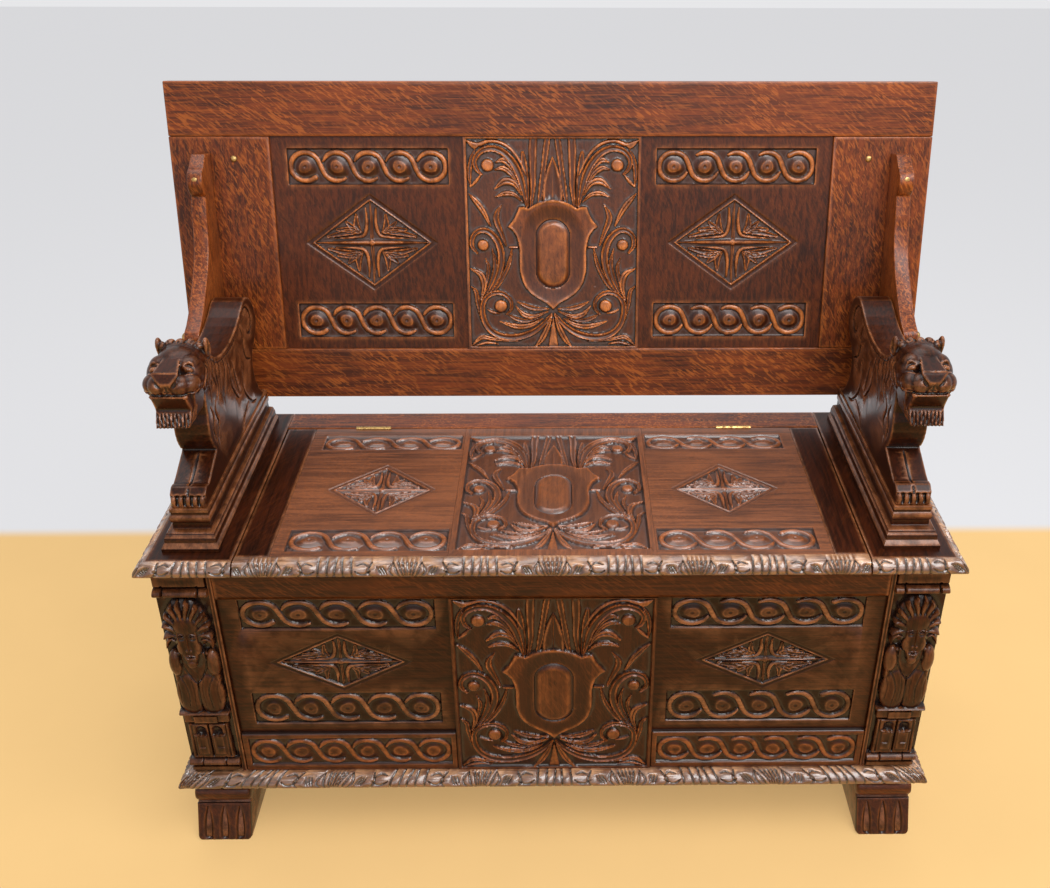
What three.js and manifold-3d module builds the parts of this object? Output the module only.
// A monk's bench in carved oak: a box settle with a lifting lid, and a back that swings over to make a table.
// Millimetres, x to the right, y to the rear, z up. The origin is on the floor under the bench's middle.
import * as THREE from 'three';
import { mergeVertices } from 'three/addons/utils/BufferGeometryUtils.js';
import Module from 'manifold-3d';

const wasm = await Module();
wasm.setup();

// Fits
const fitGap = 0.3; // between two pieces that meet
const turnGap = 0.4; // round a pin
const lidGap = 2; // each side of the lid
const cutOverrun = 5; // how far a cutting shape passes the face it cuts

// Seat
const seatWidth = 1016;
const seatDepth = 389;
const seatHeight = 484;
const seatThickness = 18;
const endBoardWidth = 118;
const rearRailDepth = 45;
const nosingDepth = 22;
const nosingInset = 6; // how far the carved edge is rounded back at the top
const clampWidth = 42;
const lidCentreWidth = 256;

// Base frame and sledge feet
const footHeight = 113;
const footWidth = 75;
const footSideSetback = 2; // inside the seat's edge
const toeSetback = 10.5; // behind the front edge of the seat
const instepSetback = 33;
const instepHeight = 50;
const footFluteRadius = 5.2;
const footRollHeight = 26;
const footRollProud = 2; // in front of the instep
const baseThickness = 18;
const baseOverhang = 3; // past the seat's edge
const baseFrameWidth = 62;
const baseInset = 5;

// Chest
const chestSetback = 15; // behind the edge of the seat, on the front and both sides
const chestRearSetback = 9;
const frameThickness = 20;
const panelThickness = 10;
const panelRecess = 6;
const postWidth = 73;
const postLip = 6; // the narrow fillet between the figure and the panel
const postLipProud = 5;
const postThickness = 32;
const topRailHeight = 42;
const lowerRailHeight = 66;
const chestCentreWidth = 262;
const rearPostWidth = 48;
const rearPostDepth = 30;
const backBoardThickness = 12;
const bottomBoardThickness = 12;

// Figure on each front post
const figureRelief = 17;
const figureRollRelief = 9;
const figureMargin = 4; // below the top rail's top and above the base
const faceWidth = 27;
const faceHeight = 46;

// Carving on the boards
const cartoucheDepth = 4.6;
const ovalDepth = 2.6; // of the ring round the oval on each shield
const carvedMargin = 3; // plain edge round the cartouches
const lidCarvedMargin = 7;
const lidCarvedFront = 12.7;
const lidCarvedRear = 21;
const bandDepth = 3.6;
const lozengeDepth = 3.4;
const bandMargin = 0.4; // each ring to the band's edge
const lozengeMargin = 7; // the sunk diamond within its outline
const lozengeStar = 4.2; // half width of the cross at its middle

// Arms
const armThickness = 44;
const armInnerHalf = 422; // middle of the bench to the arm's inner face
const armFront = 55; // behind the front edge of the seat
const armRear = 371;
const armRise = 158; // from the plinth to the top of the scroll
const plinthRise = 50;
const plinthStep = 25; // how far the lowest tier stands out in front
const plinthSideStep = 13;
const clawDepth = 2.4;

// Lion head
const headWidth = 62;
const headCrown = 246; // above the seat
const headFront = 52; // the nose, behind the front edge of the seat
const headRear = 140;
const beardFoot = 160; // above the seat
const napeDrop = 22; // the neck's top behind the head, below the crown

// Back, which is also the table top
const backWidth = 1046;
const backHeight = 443;
const backThickness = 20;
const backRailHeight = 72;
const backStileWidth = 136;
const backCentreWidth = 245;
const backPanelRecess = 5;
const backFoot = 38; // lower front edge above the seat
const backLean = THREE.MathUtils.degToRad(10.5);

// Bearers and their pivots
const bearerThickness = 20;
const bearerGap = 2;
const bearerHeadDrop = 94; // the scroll's top below the back's top edge
const pivotRadius = 4;
const pivotBite = 26; // how far the pin goes into the arm
const pivotFromRear = 96;
const pivotFromSeat = 178;
const pivotBoss = 13; // wood round the pin
const knobRadius = 6.5;
const knobHeight = 6;
const studRadius = 4.5;
const studInset = 50; // from the stile's inner edge
const studDrop = 102; // below the back's top edge

// Butt hinges
const hingeLength = 51;
const hingeFromClamp = 82; // hinge's middle to the clamp's inner edge
const hingeGap = 3; // between the lid and the rear rail
const leafThickness = 1.1;
const leafHeight = 15;
const knuckleRadius = 3;
const hingePinRadius = 1.2;
const knuckleCount = 5;

// Places worked out from those sizes
const seatHalf = seatWidth / 2;
const seatUnderside = seatHeight - seatThickness;
const baseTop = footHeight + baseThickness;
const chestHalf = seatHalf - chestSetback;
const chestFoot = baseTop + fitGap;
const chestTop = seatUnderside - fitGap;
const chestRear = seatDepth - chestRearSetback;
const lidHalf = seatHalf - endBoardWidth - lidGap;
const hingeCentre = lidHalf - clampWidth - hingeFromClamp;
const rearRailFront = seatDepth - rearRailDepth;
const hingeLine = rearRailFront - hingeGap / 2;
const lidRear = rearRailFront - hingeGap;
const armMiddle = armInnerHalf + armThickness / 2;
const armOuter = armInnerHalf + armThickness;
const armLength = armRear - armFront;

const oak = new THREE.MeshStandardMaterial({ color: 0x3a1c10, roughness: 0.42, metalness: 0 });
const carvedOak = new THREE.MeshStandardMaterial({ color: 0x4a2614, roughness: 0.5, metalness: 0 });
const brass = new THREE.MeshStandardMaterial({ color: 0xa9803f, roughness: 0.35, metalness: 0.9 });

const bench = new THREE.Group();

// Turns a geometry's faces outwards, whichever way its rings ran
function outward(geometry) {
  const points = geometry.getAttribute('position');
  const index = geometry.getIndex().array;
  const [a, b, c] = [new THREE.Vector3(), new THREE.Vector3(), new THREE.Vector3()];
  let volume = 0;
  for (let i = 0; i < index.length; i += 3) {
    a.fromBufferAttribute(points, index[i]);
    b.fromBufferAttribute(points, index[i + 1]);
    c.fromBufferAttribute(points, index[i + 2]);
    volume += a.dot(b.cross(c));
  }
  if (volume < 0) {
    for (let i = 0; i < index.length; i += 3) [index[i], index[i + 1]] = [index[i + 1], index[i]];
  }
  geometry.computeVertexNormals();
  return geometry;
}

// Skins a closed body over rings of as many points each, with a fan over both ends
function loft(rings) {
  const count = rings[0].length;
  const positions = rings.flat(2);
  const index = [];
  for (let r = 0; r < rings.length - 1; r++) {
    for (let i = 0; i < count; i++) {
      const a = r * count + i;
      const b = r * count + (i + 1) % count;
      index.push(a, b, b + count, a, b + count, a + count);
    }
  }
  const last = (rings.length - 1) * count;
  for (let i = 1; i < count - 1; i++) {
    index.push(0, i + 1, i);
    index.push(last, last + i, last + i + 1);
  }
  const geometry = new THREE.BufferGeometry();
  geometry.setAttribute('position', new THREE.Float32BufferAttribute(positions, 3));
  geometry.setIndex(index);
  return outward(geometry);
}

function mirrored(geometry) {
  const copy = mergeVertices(bare(geometry));
  copy.scale(-1, 1, 1);
  return outward(copy);
}

// A copy with positions alone, so that shared corners can be merged
function bare(geometry) {
  const copy = geometry.clone();
  for (const name of Object.keys(copy.attributes)) {
    if (name !== 'position') copy.deleteAttribute(name);
  }
  return copy;
}

function solid(geometry) {
  const merged = outward(mergeVertices(bare(geometry)));
  const vertProperties = Float32Array.from(merged.getAttribute('position').array);
  const triVerts = Uint32Array.from(merged.getIndex().array);
  return new wasm.Manifold(new wasm.Mesh({ numProp: 3, vertProperties, triVerts }));
}

function surface(body) {
  const mesh = body.getMesh();
  const geometry = new THREE.BufferGeometry();
  geometry.setAttribute('position', new THREE.Float32BufferAttribute(mesh.vertProperties, 3));
  geometry.setIndex(Array.from(mesh.triVerts));
  geometry.computeVertexNormals();
  return geometry;
}

const join = (...shapes) => surface(shapes.map(solid).reduce((sum, next) => sum.add(next)));
const cut = (shape, ...tools) =>
  surface(tools.map(solid).reduce((rest, tool) => rest.subtract(tool), solid(shape)));

function add(name, geometry, material, parent = bench) {
  const mesh = new THREE.Mesh(geometry, material);
  mesh.name = name;
  parent.add(mesh);
}

// A right-hand piece and its mirror image on the left
function addPair(name, geometry, material, parent = bench) {
  add(`${name}_right`, geometry, material, parent);
  add(`${name}_left`, mirrored(geometry), material, parent);
}

function box(x0, x1, y0, y1, z0, z1) {
  const geometry = new THREE.BoxGeometry(x1 - x0, y1 - y0, z1 - z0);
  geometry.translate((x0 + x1) / 2, (y0 + y1) / 2, (z0 + z1) / 2);
  return geometry;
}

function extrude(shape, length) {
  return new THREE.ExtrudeGeometry(shape, { depth: length, bevelEnabled: false, curveSegments: 5 });
}

// An outline in y and z, run from x0 to x1
function extrudeAlongX(shape, x0, x1) {
  const basis = new THREE.Matrix4().makeBasis(
    new THREE.Vector3(0, 1, 0), new THREE.Vector3(0, 0, 1), new THREE.Vector3(1, 0, 0));
  return extrude(shape, x1 - x0).applyMatrix4(basis).translate(x0, 0, 0);
}

// An outline in x and y, run from z0 to z1
function extrudeAlongZ(shape, z0, z1) {
  return extrude(shape, z1 - z0).translate(0, 0, z0);
}

function rodAlongX(radius, x0, x1, y, z, sides) {
  const geometry = new THREE.CylinderGeometry(radius, radius, x1 - x0, sides);
  return geometry.rotateZ(Math.PI / 2).translate((x0 + x1) / 2, y, z);
}

function ball(radii, centre, turns = 14, tiers = 9) {
  const geometry = new THREE.SphereGeometry(1, turns, tiers);
  return geometry.rotateX(Math.PI / 2).scale(...radii).translate(...centre);
}

// A board whose edges are moulded on chosen sides: each ring is the board's plan at one height
function mouldedBoard(plan, z0, z1, insetShares, inset, sides) {
  const rings = insetShares.map(([heightShare, share]) => {
    const back = inset * share;
    const x0 = plan.x0 + (sides.left ? back : 0);
    const x1 = plan.x1 - (sides.right ? back : 0);
    const y0 = plan.y0 + (sides.front ? back : 0);
    const z = THREE.MathUtils.lerp(z0, z1, heightShare);
    return [[x0, y0, z], [x1, y0, z], [x1, plan.y1, z], [x0, plan.y1, z]];
  });
  return loft(rings);
}

// Carved boards. A board's own places are u across, v up and w outwards from its face.
const facingUp = new THREE.Matrix4();
const facingFront = new THREE.Matrix4().makeBasis(
  new THREE.Vector3(1, 0, 0), new THREE.Vector3(0, 0, 1), new THREE.Vector3(0, -1, 0));

// A flat outline run through a board's face
function prism(points, low, high, facing) {
  const shape = new THREE.Shape(points.map(([u, v]) => new THREE.Vector2(u, v)));
  return extrude(shape, high - low).translate(0, 0, low).applyMatrix4(facing);
}

// Sinks pockets into a board's face and leaves the forms inside them standing
function carve(board, facing, pockets) {
  const tools = pockets.map(({ outline, depth, forms }) => cut(prism(outline, -depth, cutOverrun, facing),
    ...forms.map((form) => prism(form, -depth - cutOverrun, 2 * cutOverrun, facing))));
  return cut(board, ...tools);
}

const rectangle = (u0, u1, v0, v1) => [[u0, v0], [u1, v0], [u1, v1], [u0, v1]];

function regular(centre, radius, sides) {
  const points = [];
  for (let i = 0; i < sides; i++) {
    const angle = 2 * Math.PI * (i + 0.5) / sides;
    points.push([centre[0] + radius * Math.cos(angle), centre[1] + radius * Math.sin(angle)]);
  }
  return points;
}

// A tapering stroke along a smooth line whose points hold two places and a half width
function ribbon(points, steps) {
  const path = new THREE.CatmullRomCurve3(points.map((point) => new THREE.Vector3(...point)));
  const [near, far] = [[], []];
  for (let i = 0; i <= steps; i++) {
    const point = path.getPoint(i / steps);
    const run = path.getTangent(i / steps);
    const share = point.z / Math.hypot(run.x, run.y);
    near.push([point.x - run.y * share, point.y + run.x * share]);
    far.push([point.x + run.y * share, point.y - run.x * share]);
  }
  return [...near, ...far.reverse()];
}

// Half of the cartouche, as shares of the carved half width and height; strokes have one more, for their width
const shieldShares = [[0, 0.72], [0.19, 0.703], [0.29, 0.68], [0.4, 0.686], [0.54, 0.59], [0.416, 0.515],
  [0.4, 0.375], [0.327, 0.29], [0.139, 0.23], [0, 0.184]];
const scrollShares = [
  [[0.3, 0.68, 0.02], [0.376, 0.82, 0.036], [0.57, 0.94, 0.038], [0.82, 0.946, 0.032], [0.875, 0.88, 0.028],
    [0.78, 0.842, 0.022], [0.7, 0.875, 0.014]],
  [[0.81, 0.247, 0.02], [0.62, 0.388, 0.032], [0.637, 0.522, 0.034], [0.85, 0.575, 0.03], [0.955, 0.5, 0.026],
    [0.86, 0.462, 0.02], [0.79, 0.505, 0.014]],
  [[0.05, 0.15, 0.016], [0.286, 0.067, 0.034], [0.678, 0.06, 0.034], [0.857, 0.167, 0.03], [0.75, 0.26, 0.026],
    [0.57, 0.23, 0.02], [0.6, 0.18, 0.014]],
];
const leafShares = [
  [[0.25, 0.7, 0.03], [0.23, 0.83, 0.045], [0.22, 0.98, 0.045]],
  [[0.15, 0.71, 0.02], [0.11, 0.85, 0.036], [0.06, 0.98, 0.03]],
  [[0.38, 0.78, 0.006], [0.49, 0.86, 0.028], [0.66, 0.89, 0.006]],
  [[0.96, 0.74, 0.006], [0.83, 0.67, 0.03], [0.735, 0.6, 0.008]],
  [[0.48, 0.49, 0.006], [0.555, 0.38, 0.024], [0.77, 0.26, 0.006]],
  [[0.86, 0.24, 0.006], [0.84, 0.32, 0.03], [0.97, 0.39, 0.006]],
  [[0.07, 0.18, 0.006], [0.3, 0.155, 0.03], [0.45, 0.2, 0.006]],
];
const scrollSteps = 8;
const leafSteps = 2;
const ovalSides = 10;
// The oval: its outer and inner half width, half of its straight part, its middle
const ovalShares = [0.228, 0.165, 0.084, 0.458];

// Cartouche: a shield with a long oval, three scrolls and leaves on each side
function cartouchePockets(half, v0, v1) {
  const tall = v1 - v0;
  const place = (side) => ([u, v, width]) => [side * half * u, v0 + tall * v, half * width];
  const flat = (points) => points.map(([u, v]) => [u, v]);
  const forms = [];
  for (const side of [-1, 1]) {
    for (const line of scrollShares) forms.push(ribbon(line.map(place(side)), scrollSteps));
    for (const line of leafShares) forms.push(ribbon(line.map(place(side)), leafSteps));
  }
  const shield = [...shieldShares.map(place(1)), ...shieldShares.slice(1, -1).reverse().map(place(-1))];
  const [outer, inner, reach, middle] = ovalShares;
  const capsule = (share) => {
    const points = [];
    for (let i = 0; i < ovalSides; i++) {
      const angle = 2 * Math.PI * (i + 0.5) / ovalSides;
      const up = Math.sign(Math.sin(angle)) * tall * reach;
      points.push([half * share * Math.cos(angle), v0 + tall * middle + up + half * share * Math.sin(angle)]);
    }
    return points;
  };
  return [
    { outline: rectangle(-half, half, v0, v1), depth: cartoucheDepth, forms: [...forms, flat(shield)] },
    { outline: capsule(outer), depth: ovalDepth, forms: [capsule(inner)] },
  ];
}

const ringSides = 8;

// Guilloche: a sunk band with a row of linked rings
function bandPocket(u0, u1, v0, v1, count) {
  const radius = (v1 - v0) / 2 - bandMargin;
  const [first, last] = [u0 + radius + bandMargin, u1 - radius - bandMargin];
  const forms = [];
  for (let i = 0; i < count; i++) {
    const centre = [THREE.MathUtils.lerp(first, last, i / (count - 1)), (v0 + v1) / 2];
    forms.push(regular(centre, radius, ringSides));
  }
  return { outline: rectangle(u0, u1, v0, v1), depth: bandDepth, forms };
}

// Lozenge: a sunk diamond with a cross of ridges and a leaf in each quarter
const leafInnerShare = 0.18;
const leafOuterShare = 0.66;
function lozengePocket(centre, halfU, halfV) {
  const share = 1 - lozengeMargin * Math.hypot(halfU, halfV) / (halfU * halfV);
  const [u, v] = [halfU * share, halfV * share];
  const about = (points) => points.map(([du, dv]) => [centre[0] + du, centre[1] + dv]);
  const star = [[u, 0], [lozengeStar, lozengeStar], [0, v], [-lozengeStar, lozengeStar], [-u, 0],
    [-lozengeStar, -lozengeStar], [0, -v], [lozengeStar, -lozengeStar]];
  const leaf = [[u * leafInnerShare, v * leafInnerShare], [u * leafOuterShare, v * leafInnerShare],
    [u * leafInnerShare, v * leafOuterShare]];
  const quarters = [[1, 1], [1, -1], [-1, 1], [-1, -1]];
  const leaves = quarters.map(([a, b]) => about(leaf.map(([du, dv]) => [a * du, b * dv])));
  const outline = about([[u, 0], [0, v], [-u, 0], [0, -v]]);
  return { outline, depth: lozengeDepth, forms: [about(star), ...leaves] };
}

// A panel's carving, laid out by shares of its width and height: two bands with their counts, and the lozenge
function panelPockets(plan, layoutShares) {
  const u = (share) => THREE.MathUtils.lerp(plan.u0, plan.u1, share);
  const v = (share) => THREE.MathUtils.lerp(plan.v0, plan.v1, share);
  const bands = layoutShares.bands.map(([u0, u1, v0, v1, count]) =>
    bandPocket(u(u0), u(u1), v(v0), v(v1), count));
  const [middleU, middleV, halfU, halfV] = layoutShares.lozenge;
  const [wide, tall] = [plan.u1 - plan.u0, plan.v1 - plan.v0];
  return [...bands, lozengePocket([u(middleU), v(middleV)], wide * halfU, tall * halfV)];
}

// The thumb moulding of the seat and the base: share of the height, share of the inset
const thumbShares = [[0, 0.7], [0.12, 0.18], [0.35, 0], [0.62, 0.08], [0.85, 0.45], [1, 1]];

// Flutes on a foot: where they start and end on the slope, and how far apart they are
const fluteEndShares = [0.07, 0.88];
const flutePitchShare = 0.3;

// Sledge feet: runners from front to rear, with a roll over a fluted toe that slopes forward
function sledgeFoot() {
  const outer = seatHalf - footSideSetback;
  const inner = outer - footWidth;
  const rollRadius = footRollHeight / 2;
  const [rollFront, rollMiddle] = [instepSetback - footRollProud, instepHeight + rollRadius];
  const neck = rollFront + rollRadius;
  const rings = [[toeSetback, 0], [instepSetback, instepHeight], [neck, rollMiddle], [neck, footHeight]].map(
    ([y, z]) => [[inner, y, z], [outer, y, z], [outer, chestRear, z], [inner, chestRear, z]]);
  const roll = rodAlongX(rollRadius, inner, outer, neck, rollMiddle, 14);
  const slope = Math.hypot(instepSetback - toeSetback, instepHeight);
  const lean = Math.atan2(instepSetback - toeSetback, instepHeight);
  const [from, to] = fluteEndShares;
  const straight = slope * (to - from) - 2 * footFluteRadius;
  const flutes = [-1, 0, 1].map((step) => {
    const flute = new THREE.CapsuleGeometry(footFluteRadius, straight, 2, 8);
    const x = (inner + outer) / 2 + step * footWidth * flutePitchShare;
    return flute.rotateX(Math.PI / 2 - lean).translate(x,
      THREE.MathUtils.lerp(toeSetback, instepSetback, (from + to) / 2), instepHeight * (from + to) / 2);
  });
  return cut(join(loft(rings), roll), ...flutes);
}

// Base frame: three mitred boards with a carved outer edge, open at the rear
function baseFront() {
  const half = seatHalf + baseOverhang;
  const rings = thumbShares.map(([heightShare, share]) => {
    const back = baseInset * share;
    const z = THREE.MathUtils.lerp(footHeight + fitGap, baseTop, heightShare);
    const tip = half - fitGap - back;
    const heel = half - fitGap - baseFrameWidth;
    const [y0, y1] = [back - baseOverhang, baseFrameWidth - baseOverhang];
    return [[-tip, y0, z], [tip, y0, z], [heel, y1, z], [-heel, y1, z]];
  });
  return loft(rings);
}

function baseSide() {
  const half = seatHalf + baseOverhang;
  const rings = thumbShares.map(([heightShare, share]) => {
    const back = baseInset * share;
    const z = THREE.MathUtils.lerp(footHeight + fitGap, baseTop, heightShare);
    const inner = half - baseFrameWidth;
    const tip = back - baseOverhang + fitGap;
    const heel = baseFrameWidth - baseOverhang + fitGap;
    return [[half - back, tip, z], [half - back, chestRear, z], [inner, chestRear, z], [inner, heel, z]];
  });
  return loft(rings);
}

function buildBase() {
  addPair('sledge_foot', sledgeFoot(), oak);
  add('base_moulding_front', baseFront(), carvedOak);
  addPair('base_moulding', baseSide(), carvedOak);
}

// Front post: a thick board whose inner edge stands forward as a fillet beside the panel
function frontPost() {
  const inner = chestHalf - postWidth;
  const ground = chestSetback + postLipProud;
  const rear = ground + postThickness;
  const plan = new THREE.Shape();
  plan.moveTo(inner, chestSetback);
  plan.lineTo(inner + postLip, chestSetback);
  plan.lineTo(inner + postLip, ground);
  plan.lineTo(chestHalf, ground);
  plan.lineTo(chestHalf, rear);
  plan.lineTo(inner, rear);
  plan.closePath();
  return extrudeAlongZ(plan, chestFoot, chestTop);
}

// One level of the figure: flat at the back, a shallow arch in front
function figureRing(middle, z, halfWidth, relief, ground) {
  const steps = 7;
  const ring = [];
  for (let i = 0; i <= steps; i++) {
    const angle = Math.PI * i / steps;
    ring.push([middle + halfWidth * Math.cos(angle), ground - relief * Math.sin(angle) ** 0.7, z]);
  }
  return ring;
}

// Term figure: a head with swept hair over a draped bust that tapers into a pillar with two arches.
// Each row holds a share of the height, of the half width and of the relief.
const bodyShares = [
  [0.095, 0.84, 0.30], [0.11, 0.86, 0.34], [0.30, 0.80, 0.36], [0.335, 0.80, 0.46], [0.345, 0.84, 0.56],
  [0.45, 0.90, 0.74], [0.53, 0.96, 0.80], [0.585, 0.98, 0.66], [0.635, 0.88, 0.46], [0.66, 0.5, 0.44],
  [0.72, 0.42, 0.4], [0.80, 0.5, 0.34], [0.90, 0.62, 0.24],
];

// Bars across the post, from the pillar's foot to the cap: low and high edge, half width and relief
const barShares = [[0, 0.1, 0.95, 0.7], [0.85, 0.96, 0.6, 0.5], [0.945, 1, 0.95, 0.7]];
// Rolls: middle and radius; and the section of a roll: rise and relief
const rollShares = [[0.06, 0.03], [0.325, 0.018], [0.93, 0.026]];
const rollSectionShares = [[-1, 0.5], [-0.7, 0.87], [0, 1.12], [0.7, 0.87], [1, 0.5]];
const rollWidthShare = 0.95;
// Hair: half width, relief, height and place; face: relief, how far it stands out and its place
const hairShares = [0.86, 0.72, 0.12, 0.79];
const faceShares = [0.62, 0.36, 0.705];

function termFigure() {
  const ground = chestSetback + postLipProud - fitGap;
  const inner = chestHalf - postWidth + postLip + fitGap;
  const middle = (inner + chestHalf) / 2;
  const half = (chestHalf - inner) / 2;
  const foot = chestFoot + figureMargin;
  const height = chestTop - figureMargin - foot;
  const at = (share) => foot + height * share;
  const body = loft(bodyShares.map(([z, width, depth]) =>
    figureRing(middle, at(z), half * width, figureRelief * depth, ground)));
  const bar = (share, width, depth) =>
    figureBarRing(middle, at(share), half * width, figureRollRelief * depth, ground);
  const bars = barShares.map(([low, high, width, depth]) =>
    loft([low, high].map((share) => bar(share, width, depth))));
  const rolls = rollShares.map(([centre, radius]) =>
    loft(rollSectionShares.map(([rise, depth]) => bar(centre + radius * rise, rollWidthShare, depth))));
  const [hairWidth, hairDepth, hairHeight, hairPlace] = hairShares;
  const hair =
    ball([half * hairWidth, figureRelief * hairDepth, height * hairHeight], [middle, ground, at(hairPlace)]);
  const [faceDepth, faceProud, facePlace] = faceShares;
  const face = ball([faceWidth / 2, figureRelief * faceDepth, faceHeight / 2],
    [middle, ground - figureRelief * faceProud, at(facePlace)]);
  const rear = box(inner - half, chestHalf + half, ground, ground + figureRelief, 0, seatHeight);
  return cut(join(body, hair, face, ...bars, ...rolls), rear);
}

// One level of a straight bar across the post
function figureBarRing(middle, z, halfWidth, relief, ground) {
  return [[middle - halfWidth, ground, z], [middle - halfWidth, ground - relief, z],
    [middle + halfWidth, ground - relief, z], [middle + halfWidth, ground, z]];
}

// Bands: from and to across, from and to up, rings. Lozenge: its middle, half width and half height.
const frontLayoutShares = {
  bands: [[0.06, 0.918, 0.768, 0.98, 5], [0.06, 0.925, 0.06, 0.298, 5]],
  lozenge: [0.498, 0.529, 0.322, 0.213],
};

function buildChest() {
  const postInner = chestHalf - postWidth;
  const front = chestSetback;
  const railTop = chestFoot + lowerRailHeight;
  const topRailFoot = chestTop - topRailHeight;
  const centreHalf = chestCentreWidth / 2;
  const frameRear = front + frameThickness;
  const panelFront = front + panelRecess;
  const panelRear = panelFront + panelThickness;

  addPair('front_post', frontPost(), oak);
  addPair('term_figure', termFigure(), carvedOak);
  const railEnd = postInner - fitGap;
  add('front_top_rail', box(-railEnd, railEnd, front, frameRear, topRailFoot, chestTop), oak);
  const panelTop = topRailFoot - fitGap;
  const centrePockets =
    cartouchePockets(centreHalf - carvedMargin, chestFoot + carvedMargin, panelTop - carvedMargin);
  add('front_centre_board', carve(box(-centreHalf, centreHalf, front, frameRear, chestFoot, panelTop),
    facingFront.clone().setPosition(0, front, 0), centrePockets), carvedOak);
  addPair('front_lower_rail',
    box(centreHalf + fitGap, postInner - fitGap, front, frameRear, chestFoot, railTop), carvedOak);
  const plan = { u0: centreHalf + fitGap, u1: postInner - fitGap, v0: railTop + fitGap, v1: panelTop };
  addPair('front_panel', carve(box(plan.u0, plan.u1, panelFront, panelRear, plan.v0, plan.v1),
    facingFront.clone().setPosition(0, panelFront, 0), panelPockets(plan, frontLayoutShares)), carvedOak);

  const postRear = front + postLipProud + postThickness;
  const rearPostFront = chestRear - rearPostDepth;
  addPair('rear_post',
    box(chestHalf - rearPostWidth, chestHalf, rearPostFront, chestRear, chestFoot, chestTop), oak);
  const sideInner = chestHalf - frameThickness;
  const [sideFront, sideRear] = [postRear + fitGap, rearPostFront - fitGap];
  addPair('end_top_rail', box(sideInner, chestHalf, sideFront, sideRear, topRailFoot, chestTop), oak);
  addPair('end_bottom_rail', box(sideInner, chestHalf, sideFront, sideRear, chestFoot, railTop), oak);
  const endPanelFace = chestHalf - panelRecess;
  addPair('end_panel', box(endPanelFace - panelThickness, endPanelFace, sideFront, sideRear,
    railTop + fitGap, topRailFoot - fitGap), oak);

  const backInner = chestHalf - rearPostWidth - fitGap;
  const backFace = chestRear - backBoardThickness;
  add('chest_back', box(-backInner, backInner, backFace, chestRear, chestFoot, chestTop), oak);
  const [bottomFront, bottomRear] = [frameRear + fitGap, backFace - fitGap];
  const corners = [[postInner - fitGap, bottomFront], [postInner - fitGap, sideFront],
    [sideInner - fitGap, sideFront], [sideInner - fitGap, sideRear], [backInner, sideRear],
    [backInner, bottomRear]];
  const outline = [...corners, ...corners.map(([x, y]) => [-x, y]).reverse()];
  const bottomPlan = new THREE.Shape(outline.map(([x, y]) => new THREE.Vector2(x, y)));
  add('chest_bottom', extrudeAlongZ(bottomPlan, chestFoot, chestFoot + bottomBoardThickness), oak);
}

function buildSeat() {
  const endInner = seatHalf - endBoardWidth;
  const endPlan = { x0: endInner, x1: seatHalf, y0: 0, y1: seatDepth };
  const endSides = { right: true, front: true };
  addPair('seat_end_board',
    mouldedBoard(endPlan, seatUnderside, seatHeight, thumbShares, nosingInset, endSides), oak);
  const railEnd = endInner - fitGap;
  const rail = box(-railEnd, railEnd, rearRailFront, seatDepth, seatUnderside, seatHeight);
  const notches = [-1, 1].map((side) => knuckleNotch(side * hingeCentre));
  add('seat_rear_rail', cut(rail, ...notches), oak);

  const nosingPlan = { x0: -lidHalf, x1: lidHalf, y0: 0, y1: nosingDepth };
  const lidUnderside = seatUnderside + fitGap;
  add('lid_nosing',
    mouldedBoard(nosingPlan, lidUnderside, seatHeight, thumbShares, nosingInset, { front: true }), carvedOak);
  const lidFront = nosingDepth + fitGap;
  const centreHalf = lidCentreWidth / 2;
  const fieldOuter = lidHalf - clampWidth;
  const board = (x0, x1) => box(x0, x1, lidFront, lidRear, lidUnderside, seatHeight);
  const pockets =
    cartouchePockets(centreHalf - lidCarvedMargin, lidFront + lidCarvedFront, lidRear - lidCarvedRear);
  const facingLid = facingUp.clone().setPosition(0, 0, seatHeight);
  add('lid_centre_board', carve(board(-centreHalf, centreHalf), facingLid, pockets), carvedOak);
  addPair('lid_field', cut(board(centreHalf + fitGap, fieldOuter), knuckleNotch(hingeCentre)), carvedOak);
  addPair('lid_clamp', board(fieldOuter + fitGap, lidHalf), oak);
}

// Room for the knuckles in the edge of the lid and of the rear rail
function knuckleNotch(centre) {
  const half = hingeLength / 2 + fitGap;
  return rodAlongX(knuckleRadius + fitGap, centre - half, centre + half, hingeLine, seatHeight, 16);
}

// Butt hinge: the lid's leaf carries the even knuckles, the fixed leaf the odd ones
function hingeLeaf(centre, side, first) {
  const pitch = hingeLength / knuckleCount;
  const start = centre - hingeLength / 2;
  const [near, far] = [fitGap / 2, fitGap / 2 + leafThickness];
  const [y0, y1] = side > 0 ? [hingeLine + near, hingeLine + far] : [hingeLine - far, hingeLine - near];
  const plateTop = seatHeight - knuckleRadius - fitGap;
  const pieces = [box(start, start + hingeLength, y0, y1, plateTop - leafHeight, plateTop)];
  for (let i = first; i < knuckleCount; i += 2) {
    const x0 = start + i * pitch + fitGap / 2;
    const x1 = x0 + pitch - fitGap;
    pieces.push(rodAlongX(knuckleRadius, x0, x1, hingeLine, seatHeight, 10));
    const neckTop = seatHeight - (knuckleRadius + hingePinRadius) / 2;
    pieces.push(box(x0, x1, y0, y1, plateTop - leafThickness, neckTop));
  }
  const bore = rodAlongX(hingePinRadius + turnGap, start - cutOverrun, start + hingeLength + cutOverrun,
    hingeLine, seatHeight, 10);
  return cut(join(...pieces), bore);
}

function buildHinges() {
  addPair('hinge_fixed_leaf', hingeLeaf(hingeCentre, 1, 0), brass);
  addPair('hinge_lid_leaf', hingeLeaf(hingeCentre, -1, 1), brass);
  addPair('hinge_pin', rodAlongX(hingePinRadius, hingeCentre - hingeLength / 2, hingeCentre + hingeLength / 2,
    hingeLine, seatHeight, 12), brass);
}

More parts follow.
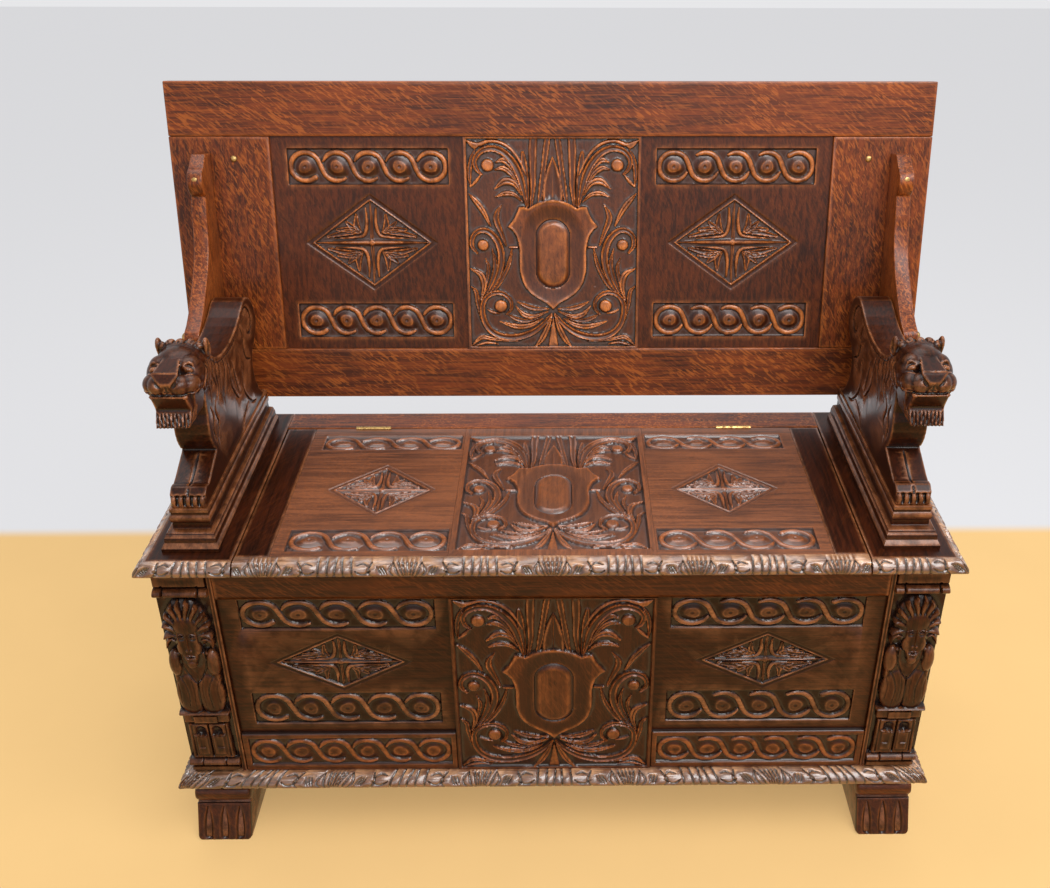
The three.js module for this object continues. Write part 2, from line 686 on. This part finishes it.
// Moulded plinth under each arm: share of the rise, share of the step that is left
const plinthShares = [[0, 1], [0.09, 1], [0.2, 0.78], [0.32, 0.72], [0.38, 0.6], [0.42, 0.5], [0.44, 0.1],
  [0.62, 0.08], [0.68, 0.15], [0.78, 0.16], [0.85, 0.06], [0.9, 0.1], [1, 0.1]];

function armPlinth() {
  const rings = plinthShares.map(([riseShare, stepShare]) => {
    const side = plinthSideStep * stepShare;
    const z = seatHeight + fitGap + (plinthRise - fitGap) * riseShare;
    const y0 = armFront - plinthStep * (stepShare - 0.1);
    return [[armInnerHalf - side, y0, z], [armOuter + side, y0, z], [armOuter + side, armRear, z],
      [armInnerHalf - side, armRear, z]];
  });
  return loft(rings);
}

// Side outline of the arm: shares of the arm's length and of its rise, from the claws round to the rear foot.
// The foreleg lies forward under the chest, and the top runs back in a dip to the scroll.
const pawShares = [[0, 0], [0.015, 0.09], [0.035, 0.11], [0.065, 0.13], [0.1, 0.155], [0.228, 0.265]];
const chestShares = [[0.2, 0.3], [0.192, 0.4], [0.196, 0.55], [0.2, 0.65]];
const topShares = [[0.34, 0.97], [0.425, 0.885], [0.54, 0.855], [0.66, 0.865], [0.77, 0.915],
  [0.87, 0.985], [0.935, 0.97], [1, 0.85], [1.015, 0.72]];
const waistShares = [[0.97, 0.59], [0.925, 0.535], [0.875, 0.47], [0.86, 0.36], [0.875, 0.22], [0.91, 0.11],
  [0.95, 0.04], [0.985, 0.02], [0.985, 0]];

function armOutline() {
  const place = ([along, up]) => new THREE.Vector2(
    armFront + armLength * along, seatHeight + plinthRise + fitGap + armRise * up);
  const outline = new THREE.Shape();
  outline.moveTo(...place(pawShares[0]).toArray());
  for (const share of pawShares.slice(1)) outline.lineTo(...place(share).toArray());
  for (const share of chestShares) outline.lineTo(...place(share).toArray());
  const ledge = seatHeight + beardFoot - fitGap;
  outline.lineTo(place(chestShares.at(-1)).x, ledge);
  outline.lineTo(headRear + fitGap, ledge);
  outline.lineTo(headRear + fitGap, seatHeight + headCrown - napeDrop);
  outline.splineThru(topShares.map(place));
  outline.splineThru(waistShares.slice(0, -1).map(place));
  outline.lineTo(...place(waistShares.at(-1)).toArray());
  outline.closePath();
  return outline;
}

// Rounded breast in front of the board, under the beard: share of its height, share of its swell
const breastShares = [[0, 0.72], [0.1, 0.86], [0.45, 1], [0.8, 0.94], [1, 0.8]];
const breastFootShare = 0.3;
const breastFrontShare = 0.2;
const breastSwellShare = 0.052;

function breast() {
  const foot = seatHeight + plinthRise + armRise * breastFootShare;
  const head = seatHeight + beardFoot - fitGap;
  const front = armFront + armLength * breastFrontShare;
  const depth = armLength * breastSwellShare;
  const rings = breastShares.map(([riseShare, swell]) => {
    const z = THREE.MathUtils.lerp(foot, head, riseShare);
    const ring = [];
    for (let i = 0; i <= 8; i++) {
      const angle = Math.PI * i / 8;
      ring.push([armMiddle + armThickness / 2 * Math.cos(angle), front - depth * swell * Math.sin(angle), z]);
    }
    ring.push([armInnerHalf, front + depth, z], [armOuter, front + depth, z]);
    return ring;
  });
  return loft(rings);
}

const clawCount = 5;
const clawLengthShare = 1.6; // of the toes' rise, so that the grooves run out past them
const clawPlaceShare = 0.45;

// Grooves that part the claws, and the hole for the pivot pin
function armCuts() {
  const grooves = [];
  const [toeFoot, toeHead] = [pawShares[0], pawShares[2]];
  const rise = armRise * toeHead[1];
  for (let i = 1; i < clawCount; i++) {
    const groove = new THREE.CylinderGeometry(clawDepth, clawDepth, rise * clawLengthShare, 8);
    groove.rotateX(Math.PI / 2 - Math.atan2(armLength * toeHead[0], rise));
    const x = armInnerHalf + armThickness * i / clawCount;
    groove.translate(x, armFront + armLength * (toeFoot[0] + toeHead[0]) / 2,
      seatHeight + plinthRise + rise * clawPlaceShare);
    grooves.push(groove);
  }
  const pivot = pivotPlace();
  grooves.push(rodAlongX(pivotRadius + fitGap, armOuter - pivotBite - fitGap, armOuter + cutOverrun,
    pivot.y, pivot.z, 20));
  return grooves;
}

function pivotPlace() {
  return { y: armRear - pivotFromRear, z: seatHeight + pivotFromSeat };
}

// Forms of the lion head: radii and place, as shares of its half width, depth and height down from the crown.
// In the middle are the skull and the mane.
const headShares = [
  [[0.94, 0.5, 0.4], [0, 0.62, 0.42]],
  [[1, 0.34, 0.52], [0, 0.9, 0.5]],
];
// On both sides are brows, muzzle, eyes and ears
const cheekShares = [
  [[0.42, 0.16, 0.13], [0.46, 0.33, 0.13]],
  [[0.5, 0.26, 0.2], [0.42, 0.22, 0.42]],
  [[0.16, 0.08, 0.07], [0.56, 0.19, 0.2]],
  [[0.16, 0.07, 0.13], [0.84, 0.82, 0.14]],
];
// Upper and lower corners of the bridge and of the nose
const bridgeShares = [[0.3, 0.35, 0.02], [0.34, 0.02, 0.15], [0.3, 0.4, 0.4], [0.24, 0.08, 0.36]];
const noseShares = [[0.5, 0.12, 0.12], [0.46, 0, 0.16], [0.2, 0.12, 0.3], [0.1, 0.02, 0.28]];
// Levels of the jaw and the beard: half width, front, rear and drop
const jawShares = [[0.9, 0.12, 0.8, 0.56], [0.86, 0.1, 0.7, 0.68], [0.66, 0.04, 0.56, 0.86],
  [0.64, 0, 0.5, 1]];
const beardRearShare = 0.5;
// Grooves in the beard: radius, spread, front of their top, their top and their foot
const beardGrooveShares = [0.06, 0.6, 0, 0.84, 1.02];
const beardGrooveCount = 6;

// Lion head: skull, brows, broad muzzle, wedge nose, dropped jaw with a square beard, small round ears
function lionHead() {
  const span = headRear - headFront;
  const half = headWidth / 2;
  const crown = seatHeight + headCrown;
  const tall = headCrown - beardFoot;
  const at = (x, y, z) => [armMiddle + half * x, headFront + span * y, crown - tall * z];
  const size = (x, y, z) => [half * x, span * y, tall * z];
  const middleForms = headShares.map(([radii, place]) => ball(size(...radii), at(...place), 14, 9));
  const sideForms = cheekShares.flatMap(([radii, [x, y, z]]) =>
    [-1, 1].map((side) => ball(size(...radii), at(side * x, y, z), 10, 7)));
  const [bridge, nose] =
    [bridgeShares, noseShares].map((corners) => slab(...corners.map((place) => at(...place))));
  const beard = jaw(at);
  const [x0, x1] = [armInnerHalf - headWidth, armOuter + headWidth];
  const behind = box(x0, x1, headRear, headRear + span, seatHeight, crown + tall);
  const above = box(x0, x1, 0, seatDepth, crown, crown + tall);
  const under = box(x0, x1, headFront + span * beardRearShare, seatDepth, seatHeight, seatHeight + beardFoot);
  const head = join(...middleForms, ...sideForms, bridge, nose, beard);
  return cut(head, behind, above, under, ...beardGrooves(at));
}

// A symmetrical block between its upper rear and front corners and its lower ones
function slab(...corners) {
  const across = ([x, y, z]) => [[x, y, z], [2 * armMiddle - x, y, z]];
  const [upRear, upFront, lowRear, lowFront] = corners.map(across);
  return loft([
    [upRear[1], upRear[0], upFront[0], upFront[1]],
    [lowRear[1], lowRear[0], lowFront[0], lowFront[1]],
  ]);
}

function jaw(at) {
  return loft(jawShares.map(([halfShare, frontShare, rearShare, dropShare]) => {
    const front = at(halfShare, frontShare, dropShare);
    const rear = at(halfShare, rearShare, dropShare);
    const other = (point) => [2 * armMiddle - point[0], point[1], point[2]];
    return [front, other(front), other(rear), rear];
  }));
}

function beardGrooves(at) {
  const [radiusShare, spreadShare, frontShare, topShare, footShare] = beardGrooveShares;
  const half = headWidth / 2;
  const [top, foot] = [at(0, frontShare, topShare), at(0, frontShare, footShare)];
  const grooves = [];
  for (let i = 0; i < beardGrooveCount; i++) {
    const x = armMiddle + half * spreadShare * (2 * (i + 0.5) / beardGrooveCount - 1);
    const groove = new THREE.CylinderGeometry(half * radiusShare, half * radiusShare, top[2] - foot[2], 6);
    grooves.push(groove.rotateX(Math.PI / 2).translate(x, foot[1], (top[2] + foot[2]) / 2));
  }
  return grooves;
}

function buildArms() {
  addPair('arm_plinth', armPlinth(), oak);
  const board = extrudeAlongX(armOutline(), armInnerHalf, armOuter);
  addPair('arm_board', cut(join(board, breast()), ...armCuts()), carvedOak);
  addPair('lion_head', lionHead(), carvedOak);
}

// The back's own frame: y runs into its thickness, z up its face, from the lower front edge
function backFrame() {
  const frame = new THREE.Group();
  frame.rotation.x = -backLean;
  frame.position.set(0, armRear + fitGap, seatHeight + backFoot);
  bench.add(frame);
  return frame;
}

// Where the pivot lies in the back's frame
function pivotInBack() {
  const pivot = pivotPlace();
  const [dy, dz] = [pivot.y - armRear - fitGap, pivot.z - seatHeight - backFoot];
  return {
    out: -(dy * Math.cos(backLean) - dz * Math.sin(backLean)),
    up: dy * Math.sin(backLean) + dz * Math.cos(backLean),
  };
}

// Shares of the way up from the pivot to the scroll, and of the pivot's distance from the back
const bearerFrontShares = [[0.2, 0.84], [0.34, 0.68], [0.48, 0.54], [0.62, 0.445], [0.76, 0.4],
  [0.88, 0.385]];

// Where the scroll lands on the lion's head, its radius and rise; the bearer's head and its foot
const crownShare = 0.4;
const scrollRadiusShare = 0.5;
const scrollRiseShare = 0.3;
const bearerHeadShare = 0.45;
const bearerFootShare = 2;
// The arcs round the scroll and round the pivot, as shares of half a turn
const scrollTurnShares = [0.55, 1.35];
const bossTurnShares = [0.75, 1.5];

// Bearer: a bracket on the stile that ends in a scroll, which comes down on the lion's crown as a stop
function bearer() {
  const pivot = pivotInBack();
  const reach = backHeight - bearerHeadDrop;
  const crownAlong = armRear - pivotFromRear - (headFront + (headRear - headFront) * crownShare);
  const scrollDepth = pivot.out - (headCrown - pivotFromSeat) - fitGap;
  const scrollUp = pivot.up + crownAlong;
  const scrollRadius = (reach - scrollUp) * scrollRadiusShare;
  const rise = scrollUp - scrollRadius - pivot.up;
  const at = ([upShare, outShare]) => new THREE.Vector2(-pivot.out * outShare, pivot.up + rise * upShare);
  const outline = new THREE.Shape();
  outline.moveTo(-fitGap, pivot.up - pivotBoss * bearerFootShare);
  outline.lineTo(-fitGap, reach);
  outline.lineTo(-scrollDepth * bearerHeadShare, reach);
  outline.absarc(-scrollDepth + scrollRadius, scrollUp + scrollRadius * scrollRiseShare, scrollRadius,
    ...scrollTurnShares.map((share) => Math.PI * share), false);
  outline.splineThru(bearerFrontShares.slice().reverse().map(at));
  outline.absarc(-pivot.out, pivot.up, pivotBoss, ...bossTurnShares.map((share) => Math.PI * share), false);
  outline.closePath();
  const inner = armOuter + bearerGap;
  const bore = rodAlongX(pivotRadius + turnGap, inner - cutOverrun, inner + bearerThickness + cutOverrun,
    -pivot.out, pivot.up, 24);
  return cut(extrudeAlongX(outline, inner, inner + bearerThickness), bore);
}

// Pin with a domed knob, driven into the arm through the bearer
function pivotPin() {
  const tip = armOuter - pivotBite;
  const face = armOuter + bearerGap + bearerThickness + fitGap;
  const profile = [[0, tip], [pivotRadius, tip], [pivotRadius, face], [knobRadius, face]]
    .map(([radius, along]) => new THREE.Vector2(radius, along));
  for (const share of [0.25, 0.5, 0.75]) {
    const angle = share * Math.PI / 2;
    profile.push(new THREE.Vector2(knobRadius * Math.cos(angle), face + knobHeight * Math.sin(angle)));
  }
  profile.push(new THREE.Vector2(0, face + knobHeight));
  const pivot = pivotPlace();
  return new THREE.LatheGeometry(profile, 20).rotateZ(-Math.PI / 2).translate(0, pivot.y, pivot.z);
}

function stud() {
  const profile = [new THREE.Vector2(0, 0)];
  for (let i = 0; i <= 4; i++) {
    const angle = i / 4 * Math.PI / 2;
    profile.push(new THREE.Vector2(studRadius * Math.cos(angle), studRadius * 0.5 * Math.sin(angle)));
  }
  const x = backWidth / 2 - backStileWidth + studInset;
  return new THREE.LatheGeometry(profile, 16).rotateX(Math.PI).translate(x, -fitGap, backHeight - studDrop);
}

function buildBack() {
  const frame = backFrame();
  const half = backWidth / 2;
  const stileInner = half - backStileWidth;
  const [railTop, topRailFoot] = [backRailHeight, backHeight - backRailHeight];
  const centreHalf = backCentreWidth / 2;
  const rail = (z0, z1) => box(-half, half, 0, backThickness, z0, z1);
  add('back_bottom_rail', rail(0, railTop), oak, frame);
  add('back_top_rail', rail(topRailFoot, backHeight), oak, frame);
  const [z0, z1] = [railTop + fitGap, topRailFoot - fitGap];
  addPair('back_stile', box(stileInner, half, 0, backThickness, z0, z1), oak, frame);
  add('back_centre_board', carve(box(-centreHalf, centreHalf, 0, backThickness, z0, z1), facingFront,
    cartouchePockets(centreHalf - carvedMargin, z0 + carvedMargin, z1 - carvedMargin)), carvedOak, frame);
  addPair('back_panel', box(centreHalf + fitGap, stileInner - fitGap, backPanelRecess, backThickness, z0, z1),
    carvedOak, frame);
  addPair('bearer', bearer(), oak, frame);
  addPair('back_stud', stud(), brass, frame);
  addPair('pivot_pin', pivotPin(), brass);
}

buildBase();
buildChest();
buildSeat();
buildHinges();
buildArms();
buildBack();

// The origin goes to the middle of the whole bench's depth
bench.updateMatrixWorld(true);
const bounds = new THREE.Box3().setFromObject(bench);
bench.position.y = -(bounds.min.y + bounds.max.y) / 2;

export default bench;
